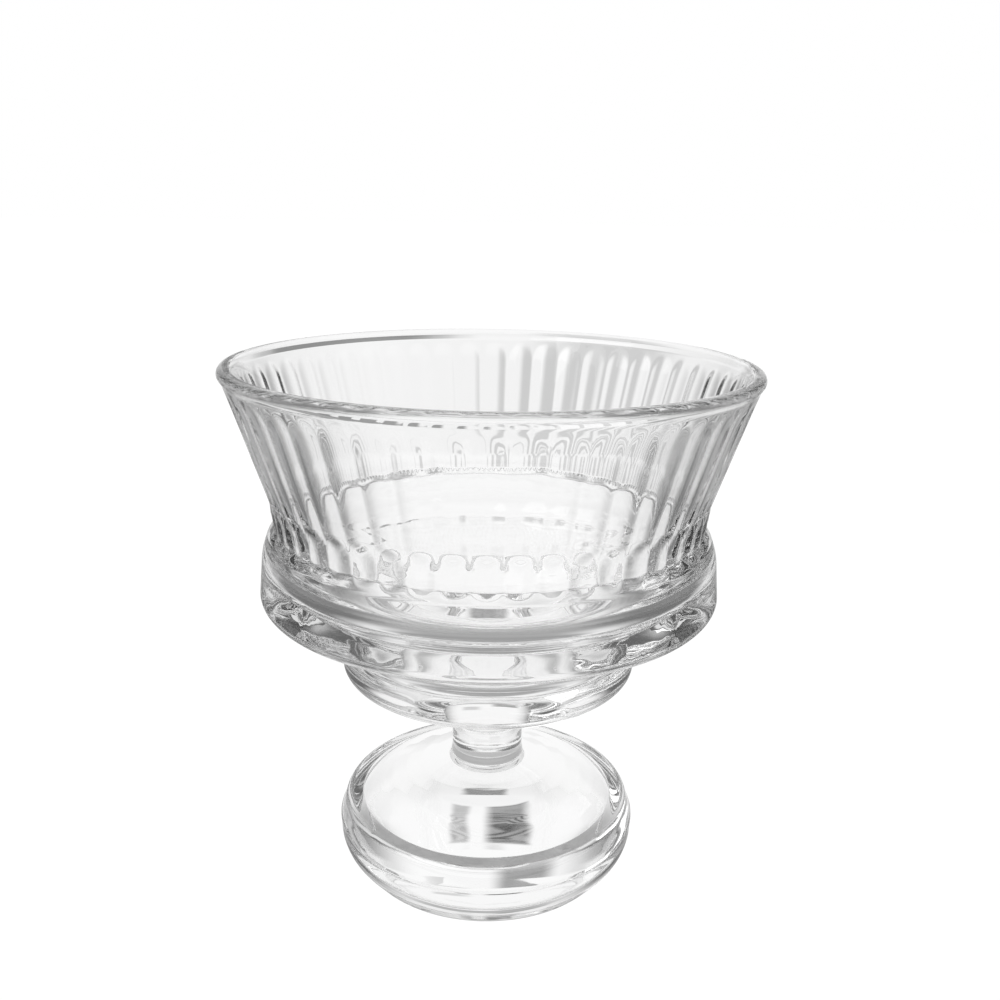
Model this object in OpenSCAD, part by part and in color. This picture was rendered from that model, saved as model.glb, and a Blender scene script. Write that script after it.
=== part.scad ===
// Footed dessert glass of pressed clear glass, in three pieces fused end to end.
// The origin is the middle of the foot's underside, and +Z points up through the bowl.

/* [Rim and flared wall] */
// Outside diameter over the rim bead
rim_d = 100; // [90:1:115]
// Height of the flared wall, from the waist to the top of the rim
wall_h = 30.2; // [24:0.1:40]
// Thickness of the glass at the rim
rim_t = 2.5; // [2:0.1:3.6]
// Thickness of the glass at the waist
waist_t = 2.55; // [2.2:0.05:4]
// Outside diameter at the waist
waist_d = 82.7; // [76:0.5:86]
// Height of the plain bead above the fluted wall
band_h = 2.6; // [2:0.1:6]

/* [Flutes] */
// Number of flutes round the wall
flute_count = 50; // [24:2:60]
// Depth of a flute at its middle
flute_depth = 0.3; // [0.15:0.05:0.5]
// Width of the ridge left between two flutes
ridge_w = 0.25; // [0.1:0.05:1]

/* [Ring] */
// Outside diameter of the ring under the waist
ring_d = 88.9; // [86:0.5:96]
// Height of the ring's side
ring_h = 9.6; // [7:0.1:16]
// Height of the ring's sloping shoulder, up to the waist
shoulder_h = 5; // [3.5:0.1:8]
// Rounding of the ring's two edges
ring_edge_r = 2.2; // [1:0.1:2.6]

/* [Lower cup] */
// Outside diameter of the lower cup
cup_d = 57.8; // [50:0.5:64]
// Height of the lower cup's side
cup_h = 12; // [9:0.5:20]
// Rounding of the lower cup's bottom edge
cup_edge_r = 3; // [1.5:0.1:4]
// Thickness of the lower cup's side
cup_t = 4.4; // [3:0.1:6]
// Thickness of the lower cup's floor over the bottom edge
floor_t = 3; // [2.4:0.1:7]

/* [Stem] */
// Diameter of the stem at its middle
stem_d = 14.4; // [10:0.2:20]
// Length of the stem between its two welds
stem_h = 11.5; // [8:0.5:40]

/* [Foot] */
// Diameter of the foot
foot_d = 60.5; // [52:0.5:76]
// Height of the foot's rolled edge
foot_edge_h = 13.4; // [10:0.2:16]
// Rise of the dome above the rolled edge
dome_rise = 8.1; // [5:0.1:12]
// Depth of the hollow under the foot
hollow_depth = 0.6; // [0.4:0.1:3]

/* [Hidden] */
$fn = 96;

// One step of a rounded corner, in degrees
arc_step = 9;

// Boss under the bowl that the stem is fused to
boss_d = 15.2;
boss_h = 3.2;
boss_fillet_r = 3.5;
// Height from the boss to the lower cup's bottom edge, and from the cup to the ring's lower edge
under_rise = 8.3;
ring_under_rise = 4.7;
// How far the lower cup flares to the ring, and the ring narrows to its shoulder
cup_flare = 0.9;
ring_taper = 0.6;
inner_fillet_r = 3;

// Welded ends of the stem
weld_d = 14.8;
weld_h = 1.6;
weld_fillet_r = 4;

// Ledge inside the ring, which slopes down to the lower cup, and the cup's draft
ledge_drop = 9.6;
ledge_fall = 4.8;
ledge_fillet_r = 6.3;
ledge_edge_r = 2.7;
cup_draft = 3.2;
floor_fillet_r = 6.5;

// Height from the waist to the flared wall, and the roundings of the waist outside and inside
waist_h = 3.6;
waist_low_r = 4;
waist_top_r = 22;
inner_waist_r = 30;
// Where the waist starts, as a share of the ring's shoulder
waist_start_share = 0.73;

// Bead at the rim: how far it stands out past the band, its height and its two roundings
lip_out = 0.75;
lip_h = 1.5;
lip_low_r = 0.8;
lip_top_r = 1.2;
lip_taper = 0.1;

// Angle that a flute's cutter covers, as a share of the angle that cuts into the wall
cutter_turn_share = 1.4;
// How far the flutes reach down over the waist, and how far under the bead they end
flute_run_down = 4.6;
flute_gap = 0.3;
// Length of a flute's faded ends
low_run = 0.4;
top_run = 0.8;
// How far the cutter runs out past the wall at its two ends, as shares of the flute's depth
low_out_share = 1.5;
top_out_share = 0.3;
// Length of the chamfer that takes a flute round the bend from the waist to the wall
bend_run = 4;

// Rolled edge of the foot
foot_base_d = 53;
foot_low_r = 6;
foot_side_h = 9.2;
foot_shoulder_in = 1.3;
foot_shoulder_r = 1.6;
foot_crease_d = 51.4;
foot_contact_w = 2;

// Crown of the dome, as shares of the way from the crease to the neck and of the rise, and its rounding
crown_in_share = 0.5;
crown_up_share = 0.7;
crown_r = 32;
// Neck at the top of the foot
neck_d = 15.6;
neck_h = 0.8;
neck_fillet_r = 1.2;

// Heights of the stacked pieces
foot_h = foot_edge_h + dome_rise;
bowl_z = foot_h + stem_h;

// Heights in the bowl, measured from its boss
cup_low_z = under_rise;
cup_top_z = cup_low_z + cup_h;
ring_low_z = cup_top_z + ring_under_rise;
ring_top_z = ring_low_z + ring_h;
waist_z = ring_top_z + shoulder_h;
wall_z = waist_z + waist_h;
rim_z = waist_z + wall_h;
wall_top_z = rim_z - band_h;
flute_low_z = wall_z - flute_run_down;
flute_top_z = wall_top_z - flute_gap;

// Radii of the flared wall's outside
waist_r = waist_d / 2;
rim_r = rim_d / 2;
band_r = rim_r - lip_out;
wall_slope = (band_r - waist_r) / (wall_top_z - wall_z);
function wall_r(z) = waist_r + wall_slope * (z - wall_z);

// Points of an arc that rounds the corner b between a and c
function corner_arc(a, b, c, r) =
    let(u = (a - b) / norm(a - b), v = (c - b) / norm(c - b))
    let(half = acos(u * v) / 2, reach = r / tan(half))
    let(axis = (u + v) / norm(u + v), centre = b + axis * r / sin(half))
    let(p = b + u * reach - centre, q = b + v * reach - centre)
    let(start = atan2(p[1], p[0]), turn = atan2(p[0] * q[1] - p[1] * q[0], p * q))
    let(steps = ceil(abs(turn) / arc_step))
    [for (i = [0:steps]) centre + r * [cos(start + turn * i / steps), sin(start + turn * i / steps)]];

// Closed outline from corners given as [radius, height, rounding]
function rounded(corners) =
    let(n = len(corners), at = [for (c = corners) [c[0], c[1]]])
    [for (i = [0:n - 1])
        each corners[i][2] == 0 ? [at[i]]
            : corner_arc(at[(i + n - 1) % n], at[i], at[(i + 1) % n], corners[i][2])];

module turned(corners) {
    rotate_extrude() polygon(rounded(corners));
}

// The bowl's body before its flutes are cut
module bowl_blank() {
    cup_r = cup_d / 2;
    ring_r = ring_d / 2;
    ledge_z = waist_z - ledge_drop;
    inner_r = waist_r - waist_t;
    cup_mouth_r = cup_r - cup_t + cup_flare;
    turned([
        [0, 0, 0],
        [boss_d / 2, 0, 0],
        [boss_d / 2, boss_h, boss_fillet_r],
        [cup_r, cup_low_z, cup_edge_r],
        [cup_r + cup_flare, cup_top_z, inner_fillet_r],
        [ring_r, ring_low_z, ring_edge_r],
        [ring_r - ring_taper, ring_top_z, ring_edge_r],
        [waist_r, ring_top_z + waist_start_share * shoulder_h, waist_low_r],
        [waist_r, wall_z, waist_top_r],
        [band_r, wall_top_z, 0],
        [rim_r, rim_z - lip_h, lip_low_r],
        [rim_r - lip_taper, rim_z, lip_top_r],
        [rim_r - rim_t, rim_z, lip_top_r],
        [inner_r, wall_z, inner_waist_r],
        [inner_r, ledge_z, ledge_fillet_r],
        [cup_mouth_r, ledge_z - ledge_fall, ledge_edge_r],
        [cup_mouth_r - cup_draft, cup_low_z + floor_t, floor_fillet_r],
        [0, cup_low_z + floor_t, 0]
    ]);
}

// One flute's cutter, turned about its own axis beside the wall. It follows the wall and the waist
// at the flute's depth, and fades out at both ends.
module flute_cutter() {
    half_low = PI * waist_r / flute_count - ridge_w / 2;
    half_top = PI * wall_r(flute_top_z) / flute_count - ridge_w / 2;
    radius_low = (pow(half_low, 2) + pow(flute_depth, 2)) / (2 * flute_depth);
    radius_top = (pow(half_top, 2) + pow(flute_depth, 2)) / (2 * flute_depth);
    half_turn = cutter_turn_share * asin(half_low / radius_low);
    lean = atan(wall_slope);
    bite = flute_depth * [cos(lean), -sin(lean)];
    corner = [waist_r, wall_z];
    top = [wall_r(flute_top_z), flute_top_z];
    start = corner + (radius_low / flute_depth - 1) * bite;
    run = top + (radius_top / flute_depth - 1) * bite - start;
    along = run / norm(run);
    away = [-along[1], along[0]];
    function seen(p) = [(p - start) * away, (p - start) * along];
    up = [sin(lean), cos(lean)];
    fade = top_run * up + bite;
    low = [waist_r - flute_depth, flute_low_z];
    from_low = seen(low);
    to_low = seen(low + [flute_depth * (1 + low_out_share), -low_run]);
    bend_low = seen(corner - [flute_depth, bend_run / 2]);
    bend_top = seen(corner - bite + bend_run / 2 * up);
    from_top = seen(top - fade);
    to_top = seen(top + top_out_share * fade);
    translate([start[0], 0, start[1]])
        rotate([0, atan2(run[0], run[1]), 0])
            rotate_extrude(angle = 2 * half_turn, start = 180 - half_turn)
                polygon([
                    [0, to_low[1]],
                    to_low,
                    from_low,
                    bend_low,
                    bend_top,
                    from_top,
                    to_top,
                    [0, to_top[1]]
                ]);
}

// The blank with its flutes, cut as two sets so that no two cutters of a set touch
module fluted(set = 1) {
    difference() {
        if (set == 0) bowl_blank();
        else fluted(set - 1);
        for (i = [set:2:flute_count - 1])
            rotate([0, 0, (i + 0.5) * 360 / flute_count]) flute_cutter();
    }
}

module bowl() {
    color([0.88, 0.92, 0.92, 0.45])
        translate([0, 0, bowl_z]) fluted();
}

module stem() {
    color([0.84, 0.89, 0.9, 0.5])
        translate([0, 0, foot_h])
            turned([
                [0, 0, 0],
                [weld_d / 2, 0, 0],
                [stem_d / 2, weld_h, weld_fillet_r],
                [stem_d / 2, stem_h - weld_h, weld_fillet_r],
                [weld_d / 2, stem_h, 0],
                [0, stem_h, 0]
            ]);
}

module foot() {
    foot_r = foot_d / 2;
    contact_r = foot_base_d / 2 - foot_contact_w;
    crease_r = foot_crease_d / 2;
    neck_r = neck_d / 2;
    color([0.88, 0.92, 0.92, 0.45])
        turned([
            [0, hollow_depth, 0],
            [contact_r - hollow_depth, hollow_depth, hollow_depth],
            [contact_r, 0, 0],
            [foot_base_d / 2, 0, 0],
            [foot_r, foot_side_h / 2, foot_low_r],
            [foot_r, foot_side_h, 0],
            [foot_r - foot_shoulder_in, foot_edge_h, foot_shoulder_r],
            [crease_r, foot_edge_h, 0],
            [crease_r - crown_in_share * (crease_r - neck_r), foot_edge_h + crown_up_share * dome_rise, crown_r],
            [neck_r, foot_h - neck_h, neck_fillet_r],
            [weld_d / 2, foot_h, 0],
            [0, foot_h, 0]
        ]);
}

bowl();
stem();
foot();
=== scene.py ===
"""A footed dessert glass of clear pressed glass: fluted bowl, short stem and heavy domed foot, fused hot."""
import math

import bpy
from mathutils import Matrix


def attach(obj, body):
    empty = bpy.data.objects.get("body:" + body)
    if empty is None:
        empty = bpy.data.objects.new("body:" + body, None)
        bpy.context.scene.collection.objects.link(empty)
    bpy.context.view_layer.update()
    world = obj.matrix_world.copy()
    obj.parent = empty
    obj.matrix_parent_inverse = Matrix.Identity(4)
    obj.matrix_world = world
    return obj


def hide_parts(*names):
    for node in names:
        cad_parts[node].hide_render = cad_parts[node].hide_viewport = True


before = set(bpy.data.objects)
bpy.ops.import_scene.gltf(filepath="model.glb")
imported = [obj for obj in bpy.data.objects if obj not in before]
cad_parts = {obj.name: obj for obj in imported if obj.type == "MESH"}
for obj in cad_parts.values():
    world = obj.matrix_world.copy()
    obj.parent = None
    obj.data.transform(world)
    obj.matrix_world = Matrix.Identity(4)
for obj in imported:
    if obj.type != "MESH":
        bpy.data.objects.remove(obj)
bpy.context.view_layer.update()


# The bowl is pressed in one piece of clear glass: a flared wall with 50 flutes, a thick ring and a small
# lower cup. Its rim is fire-polished to a round bead, and the short boss below it is fused to the stem.

mm = 0.001


def select_where(piece, kind, test):
    """Selects the vertices, edges or faces whose corners, in mm, pass the test, and stays in edit mode."""
    bpy.ops.object.mode_set(mode="EDIT")
    bpy.ops.mesh.select_mode(type={"vertices": "VERT", "edges": "EDGE", "polygons": "FACE"}[kind])
    bpy.ops.mesh.select_all(action="DESELECT")
    bpy.ops.object.mode_set(mode="OBJECT")
    points = piece.data.vertices
    for item in getattr(piece.data, kind):
        corners = [item.index] if kind == "vertices" else item.vertices
        item.select = test([points[i].co / mm for i in corners])
    bpy.ops.object.mode_set(mode="EDIT")


def draw_outline(name, corners, row_length):
    """Draws half a section through corners of (radius, height, rounding) in mm.

    It rounds the corners and then cuts the edges that are longer than row_length at their height.
    """
    bpy.ops.object.select_all(action="DESELECT")
    first = (corners[0][0] * mm, 0, corners[0][1] * mm)
    bpy.ops.mesh.primitive_circle_add(vertices=3, radius=mm, location=first)
    outline = bpy.context.object
    outline.name = outline.data.name = name
    bpy.ops.object.mode_set(mode="EDIT")
    bpy.ops.mesh.select_mode(type="VERT")
    bpy.ops.mesh.select_all(action="SELECT")
    bpy.ops.mesh.merge(type="CENTER")
    for start, end in zip(corners, corners[1:]):
        step = ((end[0] - start[0]) * mm, 0, (end[1] - start[1]) * mm)
        bpy.ops.mesh.extrude_region_move(TRANSFORM_OT_translate={"value": step})
    bpy.ops.object.mode_set(mode="OBJECT")
    bpy.ops.object.transform_apply(location=True)
    for before, corner, after in zip(corners, corners[1:], corners[2:]):
        if corner[2] > 0:
            arrive = math.atan2(corner[1] - before[1], corner[0] - before[0])
            leave = math.atan2(after[1] - corner[1], after[0] - corner[0])
            turn = abs(math.remainder(leave - arrive, math.tau))
            setback = corner[2] * math.tan(turn / 2) * mm
            facets = max(3, math.ceil(math.degrees(turn) / 7))
            select_where(outline, "vertices", lambda places: math.dist(places[0].xz, corner[:2]) < 0.001)
            bpy.ops.mesh.bevel(
                affect="VERTICES", offset_type="OFFSET", offset=setback, segments=facets, profile=0.5)
    for cuts in (15, 7, 3, 1):
        def too_long(ends):
            return math.dist(*ends) > row_length((ends[0].z + ends[1].z) / 2) * (cuts + 1) / 2
        select_where(outline, "edges", too_long)
        bpy.ops.mesh.subdivide(number_cuts=cuts)
    bpy.ops.object.mode_set(mode="OBJECT")
    return outline


def spin(piece, angles, steps=1, copies=False):
    """Spins all of the piece about the glass's axis, angle after angle: a surface, or whole copies."""
    bpy.ops.object.select_all(action="DESELECT")
    piece.select_set(True)
    bpy.context.view_layer.objects.active = piece
    bpy.ops.object.mode_set(mode="EDIT")
    bpy.ops.mesh.select_mode(type="VERT")
    bpy.ops.mesh.select_all(action="SELECT")
    for angle in angles:
        bpy.ops.mesh.spin(steps=steps, angle=angle, dupli=copies, center=(0, 0, 0), axis=(0, 0, 1))
    bpy.ops.object.mode_set(mode="OBJECT")


def join(pieces, name):
    bpy.ops.object.select_all(action="DESELECT")
    for piece in pieces:
        piece.select_set(True)
    bpy.context.view_layer.objects.active = pieces[0]
    bpy.ops.object.join()
    pieces[0].name = pieces[0].data.name = name
    return pieces[0]


def close_round(piece, sectors):
    """Repeats one sector all round, merges its seams and poles, turns its faces out and smooths them."""
    touching = 0.0005 * mm
    spin(piece, [math.tau * (sectors - 1) / sectors], steps=sectors - 1, copies=True)
    bpy.ops.object.mode_set(mode="EDIT")
    bpy.ops.mesh.select_mode(type="VERT")
    bpy.ops.mesh.select_all(action="SELECT")
    bpy.ops.mesh.remove_doubles(threshold=touching)
    bpy.ops.mesh.dissolve_degenerate(threshold=touching)
    bpy.ops.mesh.select_all(action="SELECT")
    bpy.ops.mesh.normals_make_consistent(inside=False)
    bpy.ops.object.mode_set(mode="OBJECT")
    bpy.ops.object.shade_smooth()


# A flute runs from flute_low to flute_top and fades out over a run at each end. Its hollow turns into a
# rounded ridge at hollow_share of its half width. The columns are the shares of its width that the mesh
# gives to each strip of faces, with the narrowest strips at the ridges.
flute_count = 50
flute_pitch = math.tau / flute_count
flute_depth = 0.35
flute_low, flute_top = 71.2, 99.9
flute_low_run, flute_top_run = 2.0, 4.5
hollow_share = 0.75
flute_columns = (0.06, 0.08, 0.11, 0.12, 0.13, 0.13, 0.12, 0.11, 0.08, 0.06)

stem_weld = 33.0
rim_top = 102.8
wall_foot_seam = (70.91, 71.15)
wall_top_seam = (100.2, 100.45)
row, fine_row = 1.3, 0.4

body_below = draw_outline("body_below", [
    (0, stem_weld, 0), (7.6, stem_weld, 0), (7.6, 36.2, 3.5), (28.9, 41.3, 3.0), (29.8, 53.3, 3.0),
    (44.45, 58.0, 2.2), (43.6, 67.6, 8.0), (42.55, 70.6, 2.0), (42.3, wall_foot_seam[0], 0)],
    lambda height: row)
wall = draw_outline("wall", [
    (42.1, wall_foot_seam[1], 0), (41.0, 72.5, 0.7), (41.25, 75.9, 14.0), (49.25, wall_top_seam[0], 0)],
    lambda height: fine_row if height < 75 or height > 95 else row)
body_above = draw_outline("body_above", [
    (49.42, wall_top_seam[1], 0), (49.98, 101.3, 0.8), (49.9, rim_top, 1.2), (47.5, rim_top, 1.2),
    (38.8, 76.2, 30.0), (38.8, 63.0, 6.3), (25.4, 58.2, 2.7), (22.2, 44.3, 6.5), (0, 44.3, 0)],
    lambda height: row)
spin(body_below, [flute_pitch], steps=4)
spin(wall, [share * flute_pitch for share in flute_columns])
spin(body_above, [flute_pitch], steps=4)

# The flutes are pressed in as shallow round hollows with rounded ends. Weights say how deep each point
# of the wall goes, from 0 on a ridge to 1 along the middle of a flute.
wall_points = wall.vertex_groups.new(name="flute depth")
for point in wall.data.vertices:
    x, y, z = point.co / mm
    across = 2 * (math.atan2(y, x) / flute_pitch % 1) - 1 if abs(y) > 1e-6 else -1
    past_top = max(0, z - flute_top + flute_top_run) / flute_top_run
    past_low = max(0, flute_low + flute_low_run - z) / flute_low_run
    off_middle = min(1, math.hypot(across, past_top, past_low))
    if off_middle < hollow_share:
        hollow = 1 - off_middle ** 2 / hollow_share
    else:
        hollow = (1 - off_middle) ** 2 / (1 - hollow_share)
    wall_points.add([point.index], hollow, "REPLACE")
bpy.context.view_layer.objects.active = wall
bpy.ops.object.modifier_add(type="DISPLACE")
press = wall.modifiers[-1]
press.vertex_group = "flute depth"
press.mid_level = 0
press.strength = -flute_depth * mm
bpy.ops.object.modifier_apply(modifier=press.name)
wall.vertex_groups.clear()

bowl = join([body_below, wall, body_above], "bowl_pressed")
outside_reach = 80
for low, high in (wall_foot_seam, wall_top_seam):
    def on_seam(ends):
        """An edge that runs level round the outside, at the seam's lower or upper height."""
        outside = all(end.length > outside_reach for end in ends)
        level = abs(ends[0].z - ends[1].z) < 0.01
        return outside and level and all(min(abs(end.z - low), abs(end.z - high)) < 0.01 for end in ends)
    select_where(bowl, "edges", on_seam)
    bpy.ops.mesh.bridge_edge_loops()
bpy.ops.object.mode_set(mode="OBJECT")
close_round(bowl, flute_count)


class Shade:
    """A socket of a node; arithmetic on it adds Math nodes."""

    def __init__(self, socket):
        self.socket = socket

    @staticmethod
    def add(tree, kind, settings, inputs, output=0):
        """Any node: its settings first, then the values or links of its sockets."""
        new = tree.nodes.new(kind)
        for name, value in settings.items():
            setattr(new, name, value)
        for name, value in inputs.items():
            if isinstance(value, Shade):
                tree.links.new(value.socket, new.inputs[name])
            else:
                new.inputs[name].default_value = value
        return Shade(new.outputs[output]) if new.outputs else None

    def math(self, operation, first, second=0.0):
        tree = self.socket.id_data
        return Shade.add(tree, "ShaderNodeMath", {"operation": operation}, {0: first, 1: second})

    def fade(self, start, end):
        """0 where the value is at start, 1 where it is at end, and smooth between them."""
        tree = self.socket.id_data
        return Shade.add(tree, "ShaderNodeMapRange", {"interpolation_type": "SMOOTHSTEP"},
                         {"Value": self, "From Min": start, "From Max": end})

    def __add__(self, other):
        return self.math("ADD", self, other)

    def __sub__(self, other):
        return self.math("SUBTRACT", self, other)

    def __mul__(self, other):
        return self.math("MULTIPLY", self, other)

    def __rsub__(self, other):
        return self.math("SUBTRACT", other, self)

    __radd__ = __add__
    __rmul__ = __mul__


def empty_material(name):
    material = bpy.data.materials.new(name)
    material.use_nodes = True
    material.node_tree.nodes.clear()
    return material


def pressed_glass(name, wave, wave_depth):
    """Clear glass with slow waves of a given length and depth, in mm, left by the mould and the flame.

    Its polish has faintly hazy patches, and lamps shine straight through it.
    """
    material = empty_material(name)
    tree = material.node_tree
    place = Shade.add(tree, "ShaderNodeTexCoord", {}, {}, "Object")
    slow = Shade.add(tree, "ShaderNodeTexNoise", {},
                     {"Vector": place, "Scale": 1 / (wave * mm), "Detail": 1.0}, "Fac")
    skin = Shade.add(tree, "ShaderNodeBump", {},
                     {"Strength": 1.0, "Distance": wave_depth * mm, "Height": slow})
    haze = Shade.add(tree, "ShaderNodeTexNoise", {},
                     {"Vector": place, "Scale": 240.0, "Detail": 3.0}, "Fac")
    glass = Shade.add(tree, "ShaderNodeBsdfPrincipled", {}, {
        "Base Color": (1.0, 1.0, 1.0, 1), "Roughness": haze.fade(0.4, 0.7) * 0.03, "IOR": 1.52,
        "Transmission Weight": 1.0, "Normal": skin})
    clear = Shade.add(tree, "ShaderNodeBsdfTransparent", {}, {"Color": (0.96, 0.96, 0.96, 1)})
    path = tree.nodes.new("ShaderNodeLightPath").outputs
    shadow, diffuse = Shade(path["Is Shadow Ray"]), Shade(path["Is Diffuse Ray"])
    to_lamp = shadow.math("MAXIMUM", shadow, diffuse)
    surface = Shade.add(tree, "ShaderNodeMixShader", {}, {0: to_lamp, 1: glass, 2: clear})
    Shade.add(tree, "ShaderNodeOutputMaterial", {}, {"Surface": surface})
    return material


# Inside a weld the glass runs on, so the faces there are clear.
weld_glass = empty_material("glass inside a weld")
through = Shade.add(weld_glass.node_tree, "ShaderNodeBsdfTransparent", {}, {"Color": (1, 1, 1, 1)})
Shade.add(weld_glass.node_tree, "ShaderNodeOutputMaterial", {}, {"Surface": through})


def dress(piece, glass, welds):
    """Gives the piece its glass, and clear faces at the heights of its welds, in mm."""
    piece.data.materials.append(glass)
    piece.data.materials.append(weld_glass)
    for face in piece.data.polygons:
        heights = [piece.data.vertices[i].co.z / mm for i in face.vertices]
        if any(max(abs(height - weld) for height in heights) < 0.001 for weld in welds):
            face.material_index = 1


dress(bowl, pressed_glass("bowl glass", 8.0, 0.05), [stem_weld])
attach(bowl, "root")
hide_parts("bowl")


# The stem is a short solid round bar of the same glass, a little thicker where its two ends are fused.
# It is pressed too, and a small groove stays round it above the foot.

foot_weld = 21.5
small_row = 0.8

stem = draw_outline("stem_bar", [
    (0, foot_weld, 0), (7.1, foot_weld, 0), (7.4, 22.0, 0.4), (7.15, 23.6, 3.0), (7.2, 31.4, 4.0),
    (7.4, stem_weld, 0), (0, stem_weld, 0)],
    lambda height: small_row)
spin(stem, [math.tau / 32], steps=4)
close_round(stem, 32)
dress(stem, pressed_glass("stem glass", 6.0, 0.02), [foot_weld, stem_weld])
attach(stem, "root")
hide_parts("stem")


# The foot is pressed solid from the same glass, with a domed top, a rolled edge that shows the mould's
# parting line, and a shallow hollow underneath. It is fused hot to the stem's lower end.

foot = draw_outline("foot_pressed", [
    (0, 0.6, 0), (23.9, 0.6, 0.6), (24.5, 0, 0), (26.5, 0, 0.3), (30.25, 4.6, 6.0), (30.25, 8.7, 0.2),
    (30.42, 9.1, 0.2), (30.15, 9.5, 0.2), (28.95, 13.4, 1.6), (25.7, 13.4, 0.4), (16.75, 19.07, 32.0),
    (7.8, 20.7, 0.6), (7.1, foot_weld, 0), (0, foot_weld, 0)],
    lambda height: small_row)
spin(foot, [math.tau / 48], steps=4)
close_round(foot, 48)
dress(foot, pressed_glass("foot glass", 9.0, 0.04), [foot_weld])
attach(foot, "root")
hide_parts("foot")


# The glass stands on a plain pale floor under soft studio light, and the camera sees white behind and
# under it. What the glass itself mirrors and bends is a bright window wall behind, paler above, and a dim
# room elsewhere whose far floor is pale again.

def blend(low, high, share):
    return low + (high - low) * share


def seen_by(tree):
    """1 for what the camera sees itself, and 1 for what it sees in or through the glass."""
    path = tree.nodes.new("ShaderNodeLightPath").outputs
    mirrored, bent = Shade(path["Is Glossy Ray"]), Shade(path["Is Transmission Ray"])
    return Shade(path["Is Camera Ray"]), mirrored.math("MAXIMUM", mirrored, bent)


def compass(tree, place):
    """The parts of a place or direction, its bearing in degrees, and how far that is from behind.

    The bearing is 0 behind the glass and 90 to its right.
    """
    parts = [Shade.add(tree, "ShaderNodeSeparateXYZ", {}, {0: place}, output) for output in "XYZ"]
    bearing = parts[0].math("ARCTAN2", parts[0], parts[1]) * math.degrees(1)
    return parts, bearing, bearing.math("ABSOLUTE", bearing)


bpy.ops.object.select_all(action="DESELECT")
bpy.ops.mesh.primitive_circle_add(vertices=64, radius=6, fill_type="NGON", location=(0, 0, -0.02 * mm))
floor = bpy.context.object
floor.name = "floor"
pale = empty_material("pale floor")
tree = pale.node_tree
place = Shade.add(tree, "ShaderNodeTexCoord", {}, {}, "Object")
(x, y, z), bearing, aside = compass(tree, place)

# The floor's tones, which glow only in the glass, by bearing in degrees and by distance from the glass in
# metres: bright behind, dimmer at the sides, dark across the room and pale far off, then the glass's own
# painted shadow close round the foot and in front of it, and the painted shadow of an upright behind.
away = x.math("SQRT", x * x + y * y)
side = aside.fade(15, 48)
front = aside.fade(100, 145)
tone = blend(0.97, 0.18, side * away.fade(0.035, 0.08))
# Painted shadow of the glass cast towards the camera: darker just in front of the foot, paler farther off.
tone = blend(tone, blend(0.4, 0.9, away.fade(0.08, 0.11)), front)
tone = blend(tone, 0.4, side * (1 - front) * away.fade(0.17, 0.22))
tone = blend(tone, 0.07, aside.fade(50, 90) * away.fade(0.2, 0.25))
tone = blend(tone, 0.8, aside.fade(50, 90) * away.fade(0.5, 0.64))
# Painted shade close round the foot: darker at its sides and front, and a fainter dark ring behind it.
tone = blend(tone, 0.33, aside.fade(60, 115) * away.fade(0.05, 0.035))
tone = blend(tone, 0.45, aside.fade(60, 30) * away.fade(0.032, 0.038) * away.fade(0.055, 0.045))
# Painted shadow of an upright behind to the right darkens the far floor there; no upright stands in the
# scene.
upright_shadow = bearing.fade(1, 6) * bearing.fade(15, 10) * away.fade(0.22, 0.32)
tone = tone * blend(1.0, 0.68, upright_shadow)
camera_sees, glass_sees = seen_by(tree)
matt = Shade.add(tree, "ShaderNodeBsdfDiffuse", {}, {"Color": (0.9, 0.9, 0.9, 1)})
shine = Shade.add(tree, "ShaderNodeEmission", {}, {"Strength": blend(tone, 1.04, camera_sees)})
shine_share = camera_sees * 0.85 + glass_sees
surface = Shade.add(tree, "ShaderNodeMixShader", {}, {0: shine_share, 1: matt, 2: shine})
Shade.add(tree, "ShaderNodeOutputMaterial", {}, {"Surface": surface})
floor.data.materials.append(pale)

studio = bpy.data.worlds.new("studio")
bpy.context.scene.world = studio
studio.use_nodes = True
tree = studio.node_tree
tree.nodes.clear()
direction = Shade.add(tree, "ShaderNodeTexCoord", {}, {}, "Generated")
(x, y, z), bearing, aside = compass(tree, direction)

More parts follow.
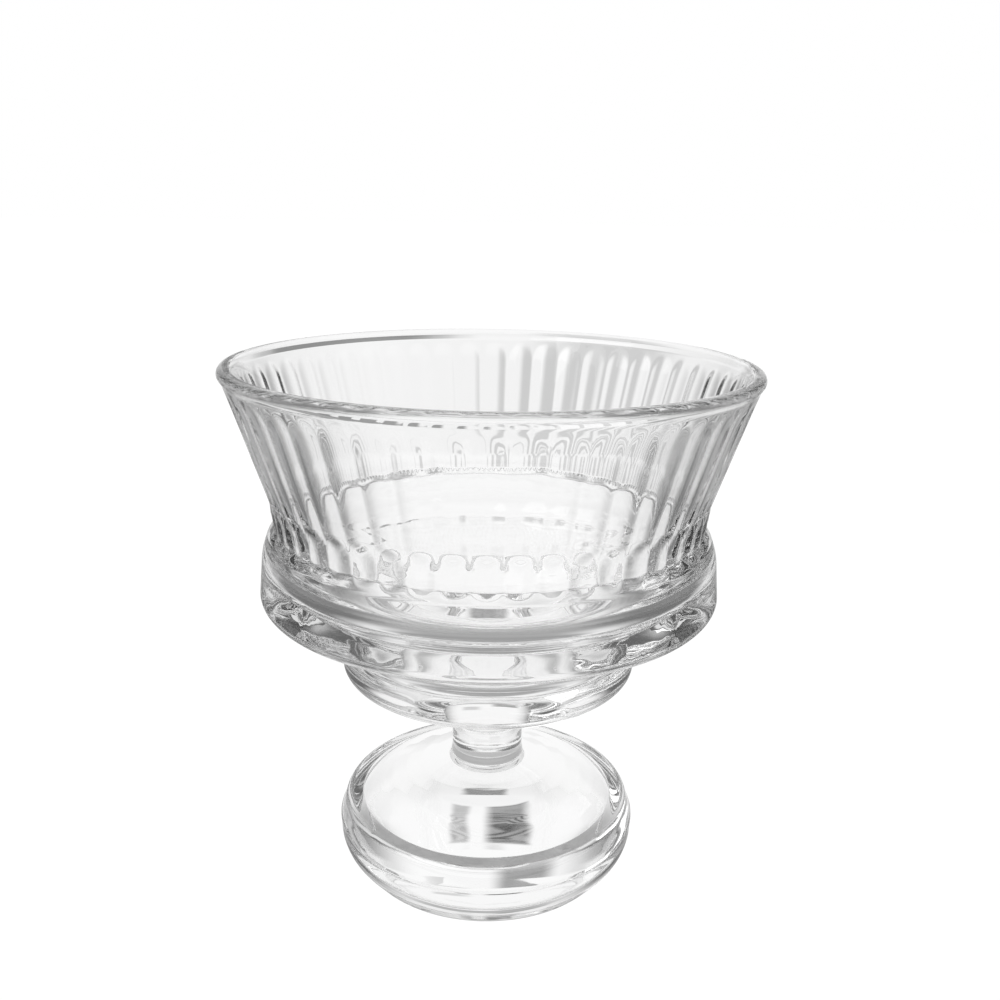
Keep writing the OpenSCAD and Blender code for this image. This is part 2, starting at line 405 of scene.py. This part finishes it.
# The room's tones in the glass, by bearing and height in degrees: the window wall and the dim room beside
# it, soft light high at the sides, the dark end towards the camera, furniture low behind to the left, the
# paler ceiling, the window's sill, its blinds and their head rail, and the pale horizon.
rise = z.math("ARCSINE", z) * math.degrees(1)
tone = blend(0.97, 0.13, blend(aside.fade(15, 42), aside.fade(40, 55), rise.fade(15, 25)))
tone = blend(tone, 0.5, aside.fade(75, 105) * aside.fade(140, 110) * rise.fade(16, 28))
tone = blend(tone, 0.05, aside.fade(135, 165))
tone = blend(tone, 0.3, bearing.fade(-20, -14) * bearing.fade(-1, -6) * rise.fade(12, 7))
tone = blend(tone, 0.8, rise.fade(30, 44))
tone = tone * blend(1.0, 0.5, aside.fade(30, 10) * rise.fade(8, 10) * rise.fade(15, 13.5))
left_blind = bearing.fade(-12, -9) * bearing.fade(0.5, -2.5)
right_blind = bearing.fade(2.5, 4.5) * bearing.fade(8.5, 6.5)
slats = rise.math("PINGPONG", rise, 0.7).fade(0.1, 0.5)
blinds = (left_blind + right_blind * 0.6) * rise.fade(19, 22) * rise.fade(35, 33)
tone = blend(tone, blend(0.08, 0.35, slats), blinds)
tone = blend(tone, 0.25, aside.fade(7, 4) * rise.fade(36.5, 37.2) * rise.fade(39.8, 39))
tone = blend(tone, 0.8, aside.fade(50, 90) * rise.fade(10, 5))
camera_sees, glass_sees = seen_by(tree)
strength = blend(1.0, tone, glass_sees)
light = Shade.add(tree, "ShaderNodeBackground", {}, {"Color": (1, 1, 1, 1), "Strength": strength})
Shade.add(tree, "ShaderNodeOutputWorld", {}, {"Surface": light})

bpy.ops.object.light_add(type="AREA", location=(-1.2, -0.8, 1.6))
key = bpy.context.object
key.data.size = 1.5
key.data.energy = 8
key.rotation_euler = (0.7, 0, -0.95)

scene = bpy.context.scene
scene.cycles.max_bounces = 32
scene.cycles.transmission_bounces = 32
scene.cycles.glossy_bounces = 16
scene.cycles.transparent_max_bounces = 32
scene.cycles.caustics_reflective = False
scene.cycles.caustics_refractive = False
scene.view_settings.view_transform = "Standard"

# The camera stands where the photograph was taken from: close in front, looking down, and a little tilted.
bpy.ops.object.camera_add(location=(1.85 * mm, -191.37 * mm, 131.55 * mm))
camera = bpy.context.object
camera.rotation_mode = "XYZ"
camera.data.lens = 37.0
camera.data.sensor_width = 36.0
camera.data.clip_start = 0.01
look_down, tilt = math.radians(16.278), math.radians(0.95)
camera.rotation_euler = (math.radians(90) - look_down, 0, 0)
camera.rotation_euler.rotate_axis("Z", tilt)
scene.camera = camera
